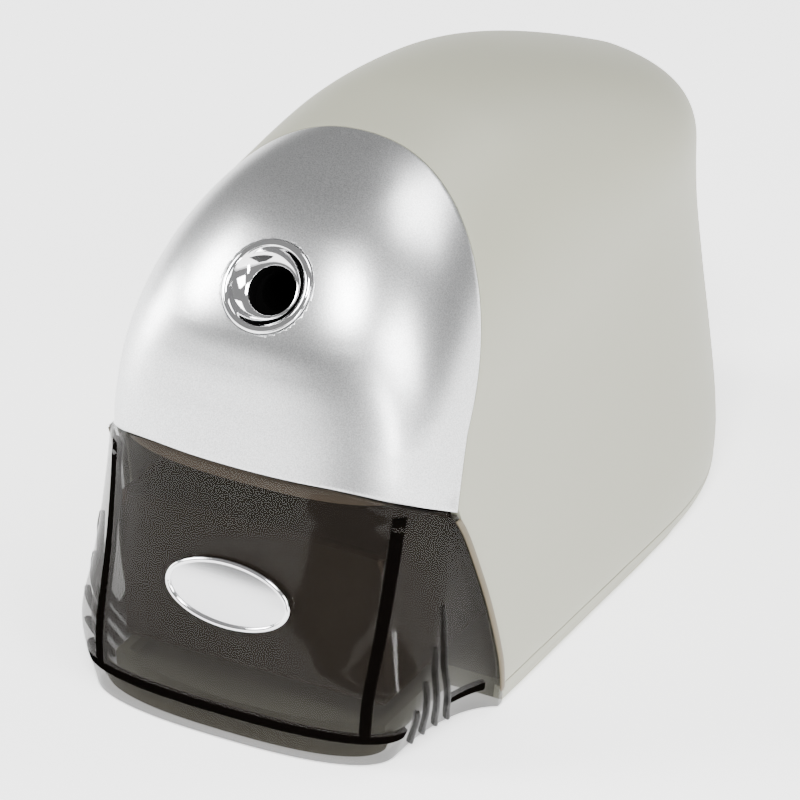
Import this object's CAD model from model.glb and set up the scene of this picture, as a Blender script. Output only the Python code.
"""The looks of an electric pencil sharpener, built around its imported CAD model.

The visible skins (shell, base, silver face, chrome ring, clear drawer, badge) are drawn densely here
and stand for the plainer CAD nodes. Everything inside keeps its CAD shape and gets a finish.
Metres, +Z up; the pencil goes in at the front, which faces -Y, and X runs across.
"""

import math

import bmesh
import bpy
from mathutils import Matrix, Vector


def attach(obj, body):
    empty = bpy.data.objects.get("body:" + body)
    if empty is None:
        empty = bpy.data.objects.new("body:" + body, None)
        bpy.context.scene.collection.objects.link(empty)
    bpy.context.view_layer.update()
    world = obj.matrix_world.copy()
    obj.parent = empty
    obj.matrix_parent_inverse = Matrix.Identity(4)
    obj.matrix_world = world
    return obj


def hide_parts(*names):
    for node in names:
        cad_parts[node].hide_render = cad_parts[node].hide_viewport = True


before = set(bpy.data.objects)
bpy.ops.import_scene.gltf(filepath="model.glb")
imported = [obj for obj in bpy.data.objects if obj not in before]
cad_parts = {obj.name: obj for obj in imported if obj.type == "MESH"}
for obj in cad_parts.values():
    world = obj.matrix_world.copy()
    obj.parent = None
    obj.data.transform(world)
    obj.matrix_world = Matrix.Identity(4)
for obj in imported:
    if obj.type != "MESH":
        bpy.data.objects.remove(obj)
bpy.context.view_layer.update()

MM = 0.001
TURN = 2 * math.pi

# Shell
HEIGHT = 127 * MM
APEX_Z = 125.8 * MM             # top of the arch where shell and silver face meet
CREST_Y = -5 * MM               # the ridge is highest here
REAR_Y = 97.4 * MM
REAR_TOP_Y = 92.2 * MM
APEX_Y = -27 * MM
SEAM_Z = 6 * MM
SEAM_REAR_Z = 4 * MM
WALL = 2.4 * MM
BASE_LOW_Z = 1.5 * MM
BASE_ROLL = 0.5 * MM            # how far the base's lowest edge is rolled in
SEAM_START_Y = -53 * MM         # the seam begins to drop here
WALL_HALF_WIDTHS = [(0, 49.8), (6, 50.4), (12, 50.7), (18, 50.4), (25, 49.7), (40, 47.9), (57, 45.6),
                    (73, 43.4), (85, 42.6), (95, 42.4)]
REAR_PROFILE = [(0, 97.4), (12, 97.2), (25, 96.6), (40, 95), (55, 93.4), (70, 92.6), (95, 92.2)]
SIDE_END_LOW_Y = 24 * MM
SIDE_END_HIGH_Y = 37.5 * MM
REAR_ROUNDNESS = 2.6
REAR_FLAT_SHARE = 0.985
STRAIGHT_SHARE = 0.45           # share of the side wall's points that lie on its straight part
SHOULDER_FRONT_Z = 73 * MM
SHOULDER_REAR_Z = 91.5 * MM
RIDGE_DROP = 33 * MM
ARCH_POWER = 2.2

# Front
FRONT_PROFILE = [(-10, -99), (0, -97.5), (25, -94), (57, -88), (70, -85.9), (80, -84.2), (90, -82.2),
                 (98, -79.4), (107, -72.6), (115.6, -63.3), (120.3, -54.6), (123.2, -45), (125.1, -36),
                 (125.8, -27)]
SKEW_PROFILE = [(0, 0), (10, 100), (20, 250), (30, 380), (40, 420), (57, 420), (61, 300), (66, 120),
                (72, 30), (80, 0)]
CORNER_Y = -66.4 * MM
CORNER_Z = 57 * MM
EDGE_PROFILE = [(0, -52.7), (8, -53.5), (22, -55.7), (32, -57.7), (44, -61), (51, -63.3), (57, -66.4)]
PARTING_PROFILE = [(0, 66.4), (16, 66.5), (22, 66.4), (27, 65.9), (31, 65.1), (35, 63.8), (38.7, 62.2),
                   (42, 60), (45.6, 57)]    # height of the drawer's top edge, from the middle out
FRONT_LEAN = 0.15
SEAM_GAP = 0.35 * MM
FACE_THICKNESS = 2.2 * MM

# Drawer
DRAWER_LOW_Z = 0.5 * MM
BULGE_X = [(0, 39.2), (4, 40.8), (10, 43.4), (16, 45), (22, 45.4), (36, 45.6), (46, 45.2), (57, 44.2)]
BULGE_Y = [(0, -84.5), (8, -84.2), (14, -83.3), (20, -81.3), (26, -77.6), (36, -73.3), (46, -70.9),
           (57, -69.8)]
FLANGE = 2.3 * MM               # width of the drawer's edge, between its side and the shell
DRAWER_WALL = 2.2 * MM
RIBS = [(36, 0.5), (27, 0.38), (20, 0.25), (13, 0.13)]      # height of its top in mm, and place of its foot
BIN_WALL_X = 35.3 * MM
BIN_FLOOR_Z = 7.4 * MM
BIN_WALL_LEAN = 2.4 * MM        # the bin's walls are this much further out at the top
BIN_EDGE = (1.35 * MM, 1.2 * MM)         # half the thickness of its walls and floor, as their edges show
PROUD = 0.03 * MM               # the drawn edges stand this much out of the clear front
BASE_LIP_Z = (1.0 * MM, 6.4 * MM)
LIP_Z = 62.3 * MM

# Pencil hole
MOUTH = Vector((0, -72.4 * MM, 107 * MM))
MOUTH_TILT = math.radians(42.3)

BADGE_Z = 36.4 * MM
CORD_Z = 20 * MM


# ---------------------------------------------------------------- the outer surface

def between(table, value):
    """Smooth reading of a table of (place, size) pairs in mm, at a place in metres."""
    at = value / MM
    if at <= table[0][0]:
        return table[0][1] * MM
    for i, ((p0, s0), (p1, s1)) in enumerate(zip(table, table[1:])):
        if at <= p1:
            before, after = table[max(i - 1, 0)], table[min(i + 2, len(table) - 1)]
            run = p1 - p0
            slope0 = (s1 - before[1]) / (p1 - before[0])
            slope1 = (after[1] - s0) / (after[0] - p0)
            t = (at - p0) / run
            return ((2 * t**3 - 3 * t**2 + 1) * s0 + (t**3 - 2 * t**2 + t) * run * slope0
                    + (3 * t**2 - 2 * t**3) * s1 + (t**3 - t**2) * run * slope1) * MM
    return table[-1][1] * MM


def flare_share(z):
    return max(0.0, 1 - z / (90 * MM)) ** 0.8


def side_end_y(z):
    return SIDE_END_HIGH_Y + (SIDE_END_LOW_Y - SIDE_END_HIGH_Y) * flare_share(z)


def rear_y(z):
    return between(REAR_PROFILE, z)


def wall_half_width(y, z):
    start = side_end_y(z)
    share = REAR_FLAT_SHARE * min(1.0, max(0.0, (y - start) / (rear_y(z) - start)))
    return between(WALL_HALF_WIDTHS, z) * math.sqrt(1 - share ** REAR_ROUNDNESS)


def boundary_y(z):
    """The shell's front edge: against the silver face above the corner, and the drawer below it."""
    if z >= CORNER_Z:
        return APEX_Y + (CORNER_Y - APEX_Y) * (APEX_Z - z) / (APEX_Z - CORNER_Z)
    return between(EDGE_PROFILE, z)


def ridge_z(y):
    if y < CREST_Y:
        return HEIGHT - (HEIGHT - APEX_Z) * ((CREST_Y - y) / (CREST_Y - APEX_Y)) ** 2
    return HEIGHT - RIDGE_DROP * min(1.0, (y - CREST_Y) / (REAR_Y - CREST_Y)) ** 1.6


def shoulder_z(y):
    share = min(1.0, max(0.0, (y - APEX_Y) / (REAR_TOP_Y - APEX_Y)))
    return SHOULDER_FRONT_Z + (SHOULDER_REAR_Z - SHOULDER_FRONT_Z) * share


def arch_half_width(y, z):
    low, high = shoulder_z(y), ridge_z(y)
    if z <= low:
        return wall_half_width(y, z)
    share = min(1.0, (z - low) / (high - low))
    return wall_half_width(y, low) * (1 - share ** ARCH_POWER) ** (1 / ARCH_POWER)


def front_centre_y(z):
    """The middle of the front, seen from the side: a leaning line that turns into a dome."""
    return between(FRONT_PROFILE, z)


def skew(z):
    """How far the sides of the bulge lean inwards for each step forwards, next to its corners."""
    return between(SKEW_PROFILE, z)


def face_corner(z):
    """Where the silver face's bulge ends, at the shell."""
    y = boundary_y(z)
    return arch_half_width(y, z), y


def drawer_corner(z):
    """Where the drawer's bulge ends and its hollowed side begins."""
    if z > CORNER_Z:
        x, y = face_corner(z)
        return x - skew(z) * 3.4 * MM, y - 3.4 * MM
    return between(BULGE_X, z), between(BULGE_Y, z)


def bulge_point(angle, z, corner):
    """A point on the bulge of the front: angle 0 in the middle and a quarter turn at its corner."""
    corner_x, corner_y = corner(z)
    fullness = 2.5 + 0.3 * min(1.0, z / CORNER_Z) - 0.35 * min(1.0, max(0.0, (z - 75 * MM) / (23 * MM)))
    power = 2 / fullness
    sideways, forwards = abs(math.sin(angle)) ** power, max(0.0, math.cos(angle)) ** power
    reach = corner_y - front_centre_y(z)
    lean = skew(z) * reach
    x = lean * (1 - forwards) + (corner_x - lean) * sideways
    return Vector((math.copysign(x, angle), corner_y - reach * forwards, z))


def face_point(angle, z):
    return bulge_point(angle, z, face_corner)


def drawer_point(angle, z):
    return bulge_point(angle, z, drawer_corner)


def bulge_angle(x, z):
    """The angle at which the drawer's bulge is at a distance x from the middle."""
    low, high = 0.0, math.pi / 2
    for _ in range(30):
        mid = (low + high) / 2
        low, high = (mid, high) if drawer_point(mid, z).x < abs(x) else (low, mid)
    return math.copysign(low, x)


def scoop_point(share, z, side):
    """A point on the drawer's hollowed side, from the bulge's corner (0) to its edge (1)."""
    x0, y0 = drawer_corner(z)
    y1 = boundary_y(z)
    x1 = arch_half_width(y1, z)
    y1 -= FLANGE
    hollow = max(0.0, 1 - z / (40 * MM))
    ymid = y0 + (0.5 + 0.3 * hollow) * (y1 - y0)
    xmid = x0 + (x1 - x0) * 0.5 * (1 - hollow)
    x = (1 - share) ** 2 * x0 + 2 * share * (1 - share) * xmid + share ** 2 * x1
    y = (1 - share) ** 2 * y0 + 2 * share * (1 - share) * ymid + share ** 2 * y1
    return Vector((side * x, y, z))


def edge_point(z, side):
    """The drawer's rearmost edge, next to the shell."""
    y = boundary_y(z)
    return Vector((side * arch_half_width(y, z), y - SEAM_GAP, z))


def below(point_of, a, z, depth):
    """The place a depth below the surface that point_of(a, z) describes, a growing towards +X."""
    across = point_of(a + 0.01, z) - point_of(a - 0.01, z)
    rise = point_of(a, z + 0.4 * MM) - point_of(a, z - 0.4 * MM)
    return point_of(a, z) - depth * across.cross(rise).normalized()


def parting_z(point_of):
    """Height at which a column of the front, given as a function of height, meets the parting line."""
    low, high = 50 * MM, 80 * MM
    for _ in range(40):
        mid = (low + high) / 2
        low, high = (mid, high) if mid < between(PARTING_PROFILE, abs(point_of(mid).x)) else (low, mid)
    return low


# ---------------------------------------------------------------- making pieces

def piece(name, mesh, mat, body="body", replaces=(), parent=None, smooth=38):
    """Puts a mesh in the scene, riding on a CAD body."""
    obj = bpy.data.objects.new(name, mesh)
    bpy.context.scene.collection.objects.link(obj)
    if parent is not None:
        obj.matrix_world = parent
    mesh.materials.append(mat)
    mesh.shade_smooth()
    mesh.set_sharp_from_angle(angle=math.radians(smooth))
    bpy.context.view_layer.update()
    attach(obj, body)
    if replaces:
        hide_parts(*replaces)
    return obj


def as_mesh(bm, name, tidy=True):
    if tidy:
        bmesh.ops.remove_doubles(bm, verts=bm.verts, dist=1e-7)
        bmesh.ops.recalc_face_normals(bm, faces=bm.faces)
    mesh = bpy.data.meshes.new(name)
    bm.to_mesh(mesh)
    bm.free()
    return mesh


def sheet_mesh(name, rows, flip=False, close_last=False, apex=None):
    """A surface through a grid of points. Its last row can be closed up, or drawn together at an apex."""
    bm = bmesh.new()
    made = [[bm.verts.new(p) for p in row] for row in rows]
    for low, high in zip(made, made[1:]):
        for i in range(len(low) - 1):
            bm.faces.new((low[i], low[i + 1], high[i + 1], high[i]))
    if apex is not None:
        tip = bm.verts.new(apex)
        for a, b in zip(made[-1], made[-1][1:]):
            bm.faces.new((a, b, tip))
    if close_last:
        last, top = made[-1], len(made[-1]) - 1
        for j in range(top // 2):
            corners = (last[j], last[j + 1], last[top - j - 1], last[top - j])
            bm.faces.new(corners if corners[1] is not corners[2] else (corners[0], corners[1], corners[3]))
    if flip:
        bmesh.ops.reverse_faces(bm, faces=list(bm.faces))
    bmesh.ops.remove_doubles(bm, verts=bm.verts, dist=1e-7)
    mesh = bpy.data.meshes.new(name)
    bm.to_mesh(mesh)
    bm.free()
    return mesh


def thicken(obj, thickness, edge=0.0):
    mod = obj.modifiers.new("wall", "SOLIDIFY")
    mod.thickness = thickness
    mod.offset = -1
    mod.use_even_offset = True
    mod.use_quality_normals = True
    if edge:
        soft = obj.modifiers.new("edges", "BEVEL")
        soft.width = edge
        soft.segments = 2
        soft.limit_method = "ANGLE"
        soft.angle_limit = math.radians(50)
    return obj


def turned(name, profile, sides=96):
    """A turned solid: profile is (radius, z) in mm. It is closed, or ends on the axis at both ends."""
    bm = bmesh.new()
    verts = [bm.verts.new((r * MM, 0, z * MM)) for r, z in profile]
    closed = profile[0][0] > 0 or profile[-1][0] > 0
    pairs = list(zip(verts, verts[1:] + verts[:1])) if closed else list(zip(verts, verts[1:]))
    edges = [bm.edges.new(pair) for pair in pairs]
    bmesh.ops.spin(bm, geom=verts + edges, angle=TURN, steps=sides, axis=(0, 0, 1), cent=(0, 0, 0))
    return as_mesh(bm, name)


def cutter_helper(mesh, place=None):
    obj = bpy.data.objects.new("helper_" + mesh.name, mesh)
    bpy.context.scene.collection.objects.link(obj)
    if place is not None:
        obj.matrix_world = place
    obj.hide_render = True
    obj.hide_viewport = True
    obj.display_type = "WIRE"
    return obj


def cut(obj, helper):
    mod = obj.modifiers.new("cut", "BOOLEAN")
    mod.operation = "DIFFERENCE"
    mod.solver = "EXACT"
    mod.object = helper
    return obj


# ---------------------------------------------------------------- materials

def new_material(name, colour, roughness, metallic=0.0, **more):
    mat = bpy.data.materials.new(name)
    mat.use_nodes = True
    shader = mat.node_tree.nodes["Principled BSDF"]
    shader.inputs["Base Color"].default_value = (*colour, 1)
    shader.inputs["Roughness"].default_value = roughness
    shader.inputs["Metallic"].default_value = metallic
    for key, value in more.items():
        shader.inputs[key.replace("_", " ")].default_value = value
    return mat


def grain(mat, scale, strength, distance=0.00005, detail=2.0, stretch=(1, 1, 1)):
    """Fine surface texture: noise in object space as a bump."""
    nodes, links = mat.node_tree.nodes, mat.node_tree.links
    coords = nodes.new("ShaderNodeTexCoord")
    mapping = nodes.new("ShaderNodeMapping")
    mapping.inputs["Scale"].default_value = stretch
    noise = nodes.new("ShaderNodeTexNoise")
    noise.inputs["Scale"].default_value = scale
    noise.inputs["Detail"].default_value = detail
    bump = nodes.new("ShaderNodeBump")
    bump.inputs["Strength"].default_value = strength
    bump.inputs["Distance"].default_value = distance
    links.new(coords.outputs["Object"], mapping.inputs["Vector"])
    links.new(mapping.outputs["Vector"], noise.inputs["Vector"])
    links.new(noise.outputs["Fac"], bump.inputs["Height"])
    links.new(bump.outputs["Normal"], nodes["Principled BSDF"].inputs["Normal"])
    return mat


def mottled(mat, scale, light, dark, detail=3.0):
    """Slightly uneven colour between two shades."""
    nodes, links = mat.node_tree.nodes, mat.node_tree.links
    coords = nodes.new("ShaderNodeTexCoord")
    noise = nodes.new("ShaderNodeTexNoise")
    noise.inputs["Scale"].default_value = scale
    noise.inputs["Detail"].default_value = detail
    ramp = nodes.new("ShaderNodeValToRGB")
    ramp.color_ramp.elements[0].position = 0.35
    ramp.color_ramp.elements[1].position = 0.65
    ramp.color_ramp.elements[0].color = (*dark, 1)
    ramp.color_ramp.elements[1].color = (*light, 1)
    links.new(coords.outputs["Object"], noise.inputs["Vector"])
    links.new(noise.outputs["Fac"], ramp.inputs["Fac"])
    links.new(ramp.outputs["Color"], nodes["Principled BSDF"].inputs["Base Color"])
    return mat


SHELL_MAT = grain(mottled(new_material("beige_shell", (0.285, 0.285, 0.222), 0.5), 9,
                          (0.29, 0.29, 0.226), (0.28, 0.28, 0.218)), 1600, 0.16)
SILVER = grain(mottled(new_material("silver_paint", (0.66, 0.67, 0.67), 0.32, 1.0), 3500,
                       (0.78, 0.785, 0.79), (0.54, 0.545, 0.55), 1.0), 2600, 0.3)
CHROME = grain(new_material("chrome_plate", (0.86, 0.86, 0.87), 0.06, 1.0), 60, 0.02, 0.0001)
BADGE_MAT = grain(new_material("badge_silver", (0.74, 0.74, 0.75), 0.24, 1.0), 3000, 0.1)
BADGE_RIM = grain(new_material("badge_bright", (0.88, 0.88, 0.89), 0.1, 1.0), 60, 0.02, 0.0001)
HOLE = grain(new_material("hole_black", (0.002, 0.002, 0.002), 0.8, Specular_IOR_Level=0), 900, 0.1)
BLACK = grain(new_material("black_moulding", (0.018, 0.018, 0.018), 0.45), 1200, 0.15)
NATURAL = grain(new_material("nylon", (0.72, 0.68, 0.58), 0.45, Subsurface_Weight=0.05), 700, 0.1)
STEEL = grain(new_material("turned_steel", (0.56, 0.56, 0.57), 0.28, 1.0), 900, 0.15, stretch=(1, 1, 8))
HARD_STEEL = grain(new_material("cutter_steel", (0.33, 0.33, 0.35), 0.3, 1.0), 1500, 0.15)
BRASS = grain(new_material("machined_brass", (0.72, 0.52, 0.2), 0.27, 1.0), 900, 0.12)
ZINC = grain(mottled(new_material("zinc_casting", (0.4, 0.41, 0.42), 0.5, 0.9), 60,
                     (0.46, 0.47, 0.48), (0.36, 0.37, 0.38)), 700, 0.3)
CAN = grain(new_material("plated_can", (0.5, 0.49, 0.47), 0.33, 1.0), 500, 0.15)
FERRITE = grain(new_material("ferrite", (0.045, 0.045, 0.05), 0.7), 900, 0.3)
COPPER = grain(new_material("copper", (0.72, 0.36, 0.2), 0.3, 1.0), 900, 0.15)
CORE = grain(new_material("lamination_steel", (0.26, 0.26, 0.27), 0.45, 0.9), 1500, 0.3,
             stretch=(0.1, 6, 0.1))
TAPE = grain(new_material("winding_tape", (0.62, 0.42, 0.07), 0.4), 300, 0.15)
BOARD = grain(mottled(new_material("solder_mask", (0.03, 0.16, 0.07), 0.35), 400,
                      (0.04, 0.2, 0.09), (0.025, 0.13, 0.055)), 400, 0.1)
BASE_LIP = grain(new_material("beige_lip", (0.2, 0.19, 0.14), 0.6, Specular_IOR_Level=0.1), 1600, 0.16)
RUBBER = grain(new_material("rubber", (0.022, 0.022, 0.022), 0.75), 700, 0.3)


def smoked(name, tint, alpha, roughness=0.05, gloss=0.25):
    """Clear smoked plastic: a dark tint that lets light through. gloss is how much it reflects."""
    mat = new_material(name, tint, roughness, 0.0, Alpha=alpha, Specular_IOR_Level=gloss)
    return mottled(mat, 25, tuple(1.06 * c for c in tint), tuple(0.94 * c for c in tint))


CLEAR = smoked("smoked_clear", (0.012, 0.01, 0.008), 0.49, 0.05, 0.14)
CLEAR_EDGE = smoked("smoked_edge", (0.0015, 0.0012, 0.001), 0.99, 0.6, 0)
CLEAR_INNER = smoked("smoked_inner", (0.032, 0.023, 0.016), 0.96, 0.6, 0.05)
RIB = smoked("smoked_rib", (0.006, 0.005, 0.004), 0.72, 0.2, 0.12)
LIP = smoked("smoked_lip", (0.33, 0.26, 0.19), 0.95, 0.5, 0.1)
FLANGE_MAT = smoked("smoked_flange", (0.115, 0.095, 0.065), 0.95, 0.3, 0.1)


# ---------------------------------------------------------------- shell and base

def seam_height(y):
    """The seam between shell and base drops slightly towards the rear."""
    share = min(1.0, max(0.0, (y - SEAM_START_Y) / (REAR_Y - SEAM_START_Y)))
    return SEAM_Z + (SEAM_REAR_Z - SEAM_Z) * share


def wall_y(along, z):
    """A place on the side wall, from its front edge (0) to the rear (1), closer together round the rear."""
    start, bend, end = boundary_y(z) + SEAM_GAP, side_end_y(z), rear_y(z)
    if along <= STRAIGHT_SHARE:
        return start + (bend - start) * along / STRAIGHT_SHARE
    return bend + (end - bend) * math.sin((along - STRAIGHT_SHARE) / (1 - STRAIGHT_SHARE) * math.pi / 2)


def shell_rows(stations, wall_steps, arch_steps):
    """Rows of the shell's surface from right foot over the ridge to left foot, front to rear."""
    rows = []
    for i in range(stations + 1):
        along = i / stations
        half = []
        for j in range(wall_steps + arch_steps + 1):
            z = SEAM_Z
            for _ in range(14):
                y = wall_y(along, z)
                low, high = shoulder_z(y), ridge_z(y)
                foot = seam_height(y) + SEAM_GAP / 2
                if j <= wall_steps:
                    z = foot + (low - foot) * j / wall_steps
                    x = wall_half_width(y, z)
                else:
                    turn = (j - wall_steps) / arch_steps * math.pi / 2
                    z = low + (high - low) * math.sin(turn) ** (2 / ARCH_POWER)
                    x = wall_half_width(y, low) * max(0.0, math.cos(turn)) ** (2 / ARCH_POWER)
            half.append(Vector((max(x, 0.0), y, z)))
        half[-1].x = 0.0
        rows.append(half + [Vector((-p.x, p.y, p.z)) for p in reversed(half[:-1])])
    return rows


shell_mesh = sheet_mesh("shell_skin", shell_rows(80, 22, 34), flip=True, close_last=True)
shell = piece("shell_skin", shell_mesh, SHELL_MAT, replaces=["housing_shell"])
thicken(shell, WALL, 0.25 * MM)
cut(shell, cutter_helper(turned("cord_hole", [(0, 80), (4.7, 80), (4.7, 110), (0, 110)], 48),
                         Matrix.Translation((0, 0, CORD_Z)) @ Matrix.Rotation(-math.pi / 2, 4, "X")))

def base_rows(levels):
    """The base's skirt: level curves from the right front edge round the rear to the left front edge."""
    rows = []
    for j in range(levels + 1):
        right = []
        for i in range(61):
            along = i / 60
            z = BASE_LOW_Z
            for _ in range(6):
                y = wall_y(along, z)
                top = seam_height(y) - SEAM_GAP / 2
                z = BASE_LOW_Z + (top - BASE_LOW_Z) * j / levels
            roll = BASE_ROLL * (1 - j / levels) ** 3
            inset = roll * max(0.0, along - STRAIGHT_SHARE)
            right.append(Vector((wall_half_width(y, z) - roll, y - inset, z)))
        rows.append(right + [Vector((-p.x, p.y, p.z)) for p in reversed(right)])
    return rows


skirt = piece("base_skirt", sheet_mesh("base_skirt", base_rows(8)), SHELL_MAT)
thicken(skirt, WALL, 0.2 * MM)


# ---------------------------------------------------------------- silver face

def bezel_rows(columns, levels):
    angles = [math.pi / 2 * (-1 + 2 * i / columns) for i in range(columns + 1)]
    lows = [parting_z(lambda z: face_point(a, z)) + SEAM_GAP / 2 for a in angles]
    rows = []
    for j in range(levels):
        share = math.sin(j / levels * math.pi / 2)
        rows.append([face_point(a, low + (APEX_Z - low) * share) for a, low in zip(angles, lows)])
    return rows


MOUTH_FRAME = Matrix.Translation(MOUTH) @ Matrix.Rotation(-math.pi / 2 - MOUTH_TILT, 4, "X")
RING_FRAME = MOUTH_FRAME @ Matrix.Translation((0, 0, 0.5 * MM))     # the ring sits a little into the dome

face_mesh = sheet_mesh("silver_face", bezel_rows(160, 110), apex=(0, APEX_Y, APEX_Z))
face = piece("silver_face", face_mesh, SILVER, replaces=["front_bezel"])
thicken(face, FACE_THICKNESS, 0.3 * MM)
cut(face, cutter_helper(turned("mouth_hole", [(0, -8), (11.3, -8), (11.3, 8), (0, 8)], 128), MOUTH_FRAME))

# Radius and depth in mm: the rim of the hole, the bowl, the flange, and the hidden back.
ring_profile = [(5.86, 7.5), (5.86, 3.3), (5.94, 3.1), (6.06, 3.02), (6.25, 3.0), (6.7, 2.78),
                (7.35, 2.28), (8.0, 1.64), (8.55, 1.0), (9.0, 0.36), (9.35, -0.2), (9.58, -0.52),
                (9.85, -0.68), (10.25, -0.68), (10.75, -0.5), (11.05, -0.22), (11.15, 0.05),
                (11.15, 3.4), (8.0, 5.0), (8.0, 7.5)]
piece("chrome_ring", turned("chrome_ring", ring_profile, 128), CHROME, replaces=["port_ring"],
      parent=RING_FRAME, smooth=50)

# A black sleeve behind the ring, so that the hole stays dark.
sleeve_profile = [(5.8, 4.2), (5.8, 7.9), (7.4, 7.9), (7.4, 4.2)]
piece("mouth_sleeve", turned("mouth_sleeve", sleeve_profile, 96), HOLE, parent=MOUTH_FRAME)


# ---------------------------------------------------------------- drawer

def drawer_shapes(scoop_columns, bulge_columns):
    """The drawer's front as functions of height, one for each column of points from left to right."""
    left_shares = [1 - i / scoop_columns for i in range(scoop_columns)]
    bulge_angles = [math.pi / 2 * (-1 + 2 * i / bulge_columns) for i in range(bulge_columns + 1)]
    right_shares = [(i + 1) / scoop_columns for i in range(scoop_columns)]
    shapes = [lambda z, s=s: scoop_point(s, z, -1) for s in left_shares]
    shapes += [lambda z, a=a: drawer_point(a, z) for a in bulge_angles]
    shapes += [lambda z, s=s: scoop_point(s, z, 1) for s in right_shares]
    return [lambda z: edge_point(z, -1), *shapes, lambda z: edge_point(z, 1)]


def drawer_rows(shapes, levels):
    """Rows of the drawer's front from its foot to the parting line."""
    tops = [parting_z(shape) - SEAM_GAP / 2 for shape in shapes]
    return [[shape(DRAWER_LOW_Z + (top - DRAWER_LOW_Z) * j / levels) for shape, top in zip(shapes, tops)]
            for j in range(levels + 1)]


front_mesh = sheet_mesh("drawer_skin", drawer_rows(drawer_shapes(20, 96), 48))
front = piece("drawer_skin", front_mesh, CLEAR, body="drawer", replaces=["drawer_front"])
thicken(front, DRAWER_WALL, 0.35 * MM)


def top_of(a):
    return parting_z(lambda z: drawer_point(a, z))


def strip(name, rows, mat, thickness=1.4 * MM, body="drawer", edge=0.2 * MM):
    made = piece(name, sheet_mesh(name, rows), mat, body=body)
    return thicken(made, thickness, edge)


# The bin's side walls and floor meet the front edge on, which looks almost black through the plastic.
for side, label in ((-1, "left"), (1, "right")):
    rows = []
    for j in range(41):
        z = BIN_FLOOR_Z + (LIP_Z - 2 * MM - BIN_FLOOR_Z) * j / 40
        wall_x = BIN_WALL_X + BIN_WALL_LEAN * (z - BIN_FLOOR_Z) / (LIP_Z - BIN_FLOOR_Z)
        angles = sorted(bulge_angle(side * (wall_x + k * BIN_EDGE[0]), z) for k in (-1, 0, 1))
        rows.append([below(drawer_point, a, z, -PROUD) for a in angles])
    strip(f"bin_wall_edge_{label}", rows, CLEAR_EDGE)

angles = [math.radians(-88 + 176 * i / 96) for i in range(97)]
rows = [[below(drawer_point, a, BIN_FLOOR_Z + k * BIN_EDGE[1], -PROUD) for a in angles] for k in (-1, 0, 1)]
strip("bin_floor_edge", rows, CLEAR_EDGE)
for side, label in ((-1, "left"), (1, "right")):
    shares = [0.42 + 0.42 * i / 16 for i in range(17)]
    if side < 0:
        shares.reverse()
    rows = [[scoop_point(q, BIN_FLOOR_Z + k * BIN_EDGE[1], side) for q in shares] for k in (-1, 0, 1)]
    rows = [[p + Vector((side * PROUD, -PROUD, 0)) for p in row] for row in rows]
    strip(f"flange_floor_edge_{label}", rows, CLEAR_EDGE)

# The drawer's edge, next to the shell, is paler than its face.
for side, label in ((-1, "left"), (1, "right")):
    rows = []
    for j in range(49):
        z = 5 * MM + (55.6 - 5) * MM * j / 48
        front_edge, back_edge = scoop_point(1, z, side), edge_point(z, side)
        rows.append([front_edge + Vector((side * 0.12 * MM, 0, 0)), (front_edge + back_edge) / 2
                     + Vector((side * 0.18 * MM, 0, 0)), back_edge + Vector((side * 0.12 * MM, 0, 0))])
    if side > 0:
        rows = [row[::-1] for row in rows]
    strip(f"drawer_edge_{label}", rows, FLANGE_MAT, 0.5 * MM)

# A paler lip runs under the silver face.
rows = []
for j in range(9):
    row = []
    for i in range(97):
        a = math.radians(-75 + 150 * i / 96)
        low, high = LIP_Z, max(LIP_Z + 0.05 * MM, top_of(a) - 1.2 * MM)
        row.append(below(drawer_point, a, low + (high - low) * j / 8, 2.4 * MM))
    rows.append(row)
strip("drawer_lip", rows, LIP, 1.2 * MM)


# A rib's section: across it in mm, and out of the side as a share of its height (below 0: in mm).
RIB_SECTION = ((-0.62, -0.8), (-0.62, 0.45), (-0.5, 0.8), (-0.2, 1.0), (0.2, 1.0), (0.5, 0.8), (0.62, 0.45),
               (0.62, -0.8))
RIB_FOOT_Z = 1.2 * MM
RIB_HEIGHT = 0.85 * MM


def rib_mesh(name, top, foot_share, side, steps=26):
    """A grip rib down the hollowed side: a rounded bar from a height to the foot."""
    bm = bmesh.new()
    rings = []
    for j in range(steps + 1):
        z = top + (RIB_FOOT_Z - top) * j / steps
        fall = (top - z) / top
        share = foot_share * fall ** 0.8
        here = scoop_point(share, z, side)
        before, after = scoop_point(max(0, share - 0.01), z, side), scoop_point(share + 0.01, z, side)
        across = (after - before).normalized()
        rise = (scoop_point(share, z + 0.5 * MM, side) - scoop_point(share, z - 0.5 * MM, side)).normalized()
        out = across.cross(rise).normalized()
        if out.x * side < 0:
            out = -out
        height = RIB_HEIGHT * (0.45 + 0.55 * min(1.0, fall * 12))
        rings.append([bm.verts.new(here + across * u * MM + out * (v * height if v > 0 else v * MM))
                      for u, v in RIB_SECTION])
    for low, high in zip(rings, rings[1:]):
        for k in range(8):
            m = (k + 1) % 8
            bm.faces.new((low[k], low[m], high[m], high[k]))
    bm.faces.new(rings[0])
    bm.faces.new(list(reversed(rings[-1])))
    return as_mesh(bm, name)


for n, (top, foot_share) in enumerate(RIBS):
    for side, label in ((-1, "left"), (1, "right")):
        rib = rib_mesh("grip_rib", top * MM, foot_share, side)
        piece(f"grip_rib_{label}_{n + 1}", rib, RIB, body="drawer")

# The base's own front lip, seen through the foot of the drawer.
rows = []
for j in range(5):
    z = BASE_LIP_Z[0] + (BASE_LIP_Z[1] - BASE_LIP_Z[0]) * j / 4
    rows.append([below(drawer_point, math.radians(-86 + 172 * i / 80), z, 2.6 * MM) for i in range(81)])
strip("base_lip", rows, BASE_LIP, 1.2 * MM, body="body")


# ---------------------------------------------------------------- badge

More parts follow.
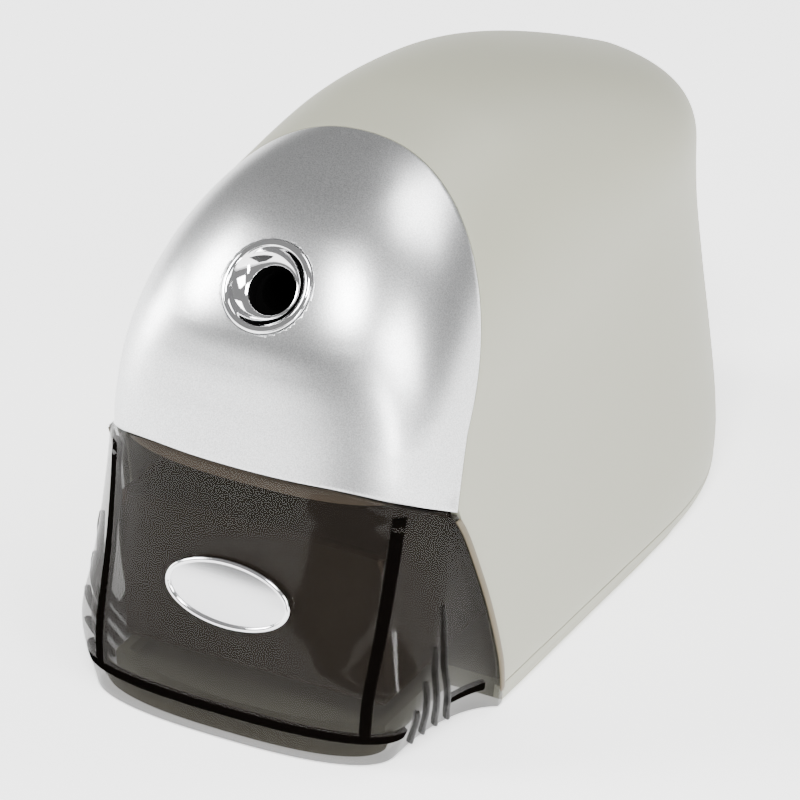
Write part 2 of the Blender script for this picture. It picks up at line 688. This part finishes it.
def badge_mesh(name, half_x, half_z, rise, levels, sides=96, foot=0.0):
    """A shallow oval dome: x across, y up the drawer's face, z out of it."""
    bm = bmesh.new()
    rings = []
    for j in range(levels):
        share = 1 - j / levels
        rings.append([bm.verts.new((half_x * share * math.cos(TURN * i / sides),
                                    half_z * share * math.sin(TURN * i / sides),
                                    foot + rise * (1 - share ** 2.2))) for i in range(sides)])
    for low, high in zip(rings, rings[1:]):
        for i in range(sides):
            k = (i + 1) % sides
            bm.faces.new((low[i], low[k], high[k], high[i]))
    tip = bm.verts.new((0, 0, foot + rise))
    for i in range(sides):
        bm.faces.new((rings[-1][i], rings[-1][(i + 1) % sides], tip))
    bottom = [bm.verts.new((v.co.x, v.co.y, -1.2 * MM)) for v in rings[0]]
    for i in range(sides):
        k = (i + 1) % sides
        bm.faces.new((bottom[i], bottom[k], rings[0][k], rings[0][i]))
    bm.faces.new(list(reversed(bottom)))
    return as_mesh(bm, name)


def badge_rim_mesh(half_x, half_z, radius, sides=96, around=12):
    bm = bmesh.new()
    loops = []
    for i in range(sides):
        c, s = math.cos(TURN * i / sides), math.sin(TURN * i / sides)
        out = Vector((c * half_z, s * half_x, 0)).normalized()
        centre = Vector((half_x * c, half_z * s, 0.35 * MM))
        loop = []
        for k in range(around):
            turn = TURN * k / around
            up = Vector((0, 0, radius * math.sin(turn)))
            loop.append(bm.verts.new(centre + out * radius * math.cos(turn) + up))
        loops.append(loop)
    for i in range(sides):
        for k in range(around):
            m, n = (i + 1) % sides, (k + 1) % around
            bm.faces.new((loops[i][k], loops[i][n], loops[m][n], loops[m][k]))
    return as_mesh(bm, "badge_rim")


BADGE_FRAME = (Matrix.Translation((0, front_centre_y(BADGE_Z) - 0.3 * MM, BADGE_Z))
               @ Matrix.Rotation(math.pi / 2 - math.atan(FRONT_LEAN), 4, "X"))
dome = badge_mesh("badge_dome", 15.6 * MM, 7.5 * MM, 0.9 * MM, 14, foot=0.4 * MM)
piece("badge_dome", dome, BADGE_MAT, body="drawer", replaces=["badge"],
      parent=BADGE_FRAME)
rim = badge_rim_mesh(15.8 * MM, 7.8 * MM, 0.7 * MM)
piece("badge_rim", rim, BADGE_RIM, body="drawer", parent=BADGE_FRAME)


# ---------------------------------------------------------------- finishes of the CAD nodes

FINISHES = {
    SHELL_MAT: ["base_plate", "pillar_left", "pillar_right", "shell_post_1", "shell_post_2", "shell_post_3",
                "shell_post_4"],
    RUBBER: ["foot_1", "foot_2", "foot_3", "foot_4", "cord_gland"],
    HOLE: ["pencil_guide"],
    BLACK: ["motor_end_cap", "switch_body", "interlock_switch", "capacitor", "rectifier"],
    ZINC: ["frame_front_plate", "frame_rear_plate", "cutter_carrier"],
    STEEL: ["frame_spacer_1", "frame_spacer_2", "frame_spacer_3", "frame_screw_left", "frame_screw_right",
            "base_screw_1", "base_screw_2", "base_screw_3", "base_screw_4", "idler_axle", "idler_pinion",
            "motor_shaft", "carrier_shaft", "cutter_pinion", "cutter_spindle", "lever_pin"],
    HARD_STEEL: ["cutter"],
    NATURAL: ["ring_gear", "carrier_gear", "idler_gear", "switch_lever", "interlock_plunger"],
    CAN: ["motor_can"],
    FERRITE: ["motor_magnet_left", "motor_magnet_right"],
    COPPER: ["commutator"],
    BRASS: ["motor_pinion"],
    CORE: ["rotor_core", "transformer_core"],
    TAPE: ["transformer_coil"],
    BOARD: ["circuit_board"],
    CLEAR_INNER: ["drawer_bin"],
}
for mat, names in FINISHES.items():
    for name in names:
        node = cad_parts[name]
        node.data.materials.clear()
        node.data.materials.append(mat)


# ---------------------------------------------------------------- studio

def stage_plane(name, size, z, colour, roughness):
    bm = bmesh.new()
    bmesh.ops.create_grid(bm, x_segments=1, y_segments=1, size=size / 2)
    mesh = bpy.data.meshes.new(name)
    bm.to_mesh(mesh)
    bm.free()
    obj = bpy.data.objects.new(name, mesh)
    obj.location.z = z
    bpy.context.scene.collection.objects.link(obj)
    mesh.materials.append(new_material(name, colour, roughness))
    return obj


floor = stage_plane("floor", 12, 0, (0.93, 0.93, 0.93), 0.6)
floor_shader = floor.active_material.node_tree.nodes["Principled BSDF"]
floor_shader.inputs["Emission Color"].default_value = (1, 1, 1, 1)
floor_shader.inputs["Specular IOR Level"].default_value = 0
floor_shader.inputs["Emission Strength"].default_value = 1.3


def area_light(name, at, target, size, power):
    """A soft light: its place, what it points at and its size in metres, and its power in watts."""
    light = bpy.data.lights.new(name, "AREA")
    light.shape = "RECTANGLE"
    light.size, light.size_y = size
    light.energy = power
    obj = bpy.data.objects.new(name, light)
    obj.location = at
    obj.rotation_euler = (Vector(target) - Vector(at)).to_track_quat("-Z", "Y").to_euler()
    bpy.context.scene.collection.objects.link(obj)
    return obj


area_light("key_left", (-0.95, -0.45, 0.7), (0, 0, 0.06), (0.4, 0.4), 18)
area_light("low_left", (-0.7, -0.12, 0.14), (0, 0, 0.08), (0.22, 0.22), 3)
area_light("side_right", (0.95, -0.4, 0.65), (0, 0, 0.06), (0.5, 0.5), 13.5)
area_light("front_high", (0.26, -0.62, 1.05), (0, 0, 0.09), (0.3, 0.3), 15)
area_light("strip_right", (0.62, -0.62, 0.16), (0, 0, 0.07), (0.07, 0.34), 3)
area_light("top", (0.45, 0.65, 1.0), (0, 0, 0.06), (0.6, 0.6), 12)

# A black flag on the floor in front keeps the floor's reflection out of the middle of the silver face.
flag = stage_plane("flag", 0.2, 0.002, (0.01, 0.01, 0.01), 0.9)
flag.scale.y = 2.4
flag.location = (0.11, -0.46, 0.002)
flag.rotation_euler.z = math.radians(13)
flag.visible_camera = False       # only the reflections see it
flag.visible_diffuse = False
flag.visible_shadow = False

world = bpy.data.worlds.new("studio")
bpy.context.scene.world = world
world.use_nodes = True
world.node_tree.nodes["Background"].inputs["Color"].default_value = (1, 1, 1, 1)
world.node_tree.nodes["Background"].inputs["Strength"].default_value = 0.32

# Camera: its aim is a point in the object's frame, and its place follows from the angles below.
AZIMUTH = math.radians(29.46)
ELEVATION = math.radians(29.36)
ROLL = math.radians(-0.63)
AIM = Vector((0, -3.77 * MM, 60 * MM))
AIM_OFFSET = (3.65 * MM, 14.47 * MM)
DISTANCE = 1.6

right = Vector((math.cos(AZIMUTH), math.sin(AZIMUTH), 0))
forward = Vector((-math.sin(AZIMUTH) * math.cos(ELEVATION), math.cos(AZIMUTH) * math.cos(ELEVATION),
                  -math.sin(ELEVATION)))
upward = right.cross(forward)
camera_x = math.cos(ROLL) * right + math.sin(ROLL) * upward
camera_y = -math.sin(ROLL) * right + math.cos(ROLL) * upward
lens = bpy.data.cameras.new("camera")
lens.sensor_width = 36
lens.lens = 304.1
lens.clip_start, lens.clip_end = 0.1, 20
camera = bpy.data.objects.new("camera", lens)
place = AIM - AIM_OFFSET[0] * camera_x - AIM_OFFSET[1] * camera_y - DISTANCE * forward
camera.matrix_world = Matrix((
    (camera_x.x, camera_y.x, -forward.x, place.x),
    (camera_x.y, camera_y.y, -forward.y, place.y),
    (camera_x.z, camera_y.z, -forward.z, place.z),
    (0, 0, 0, 1)))
bpy.context.scene.collection.objects.link(camera)
bpy.context.scene.camera = camera
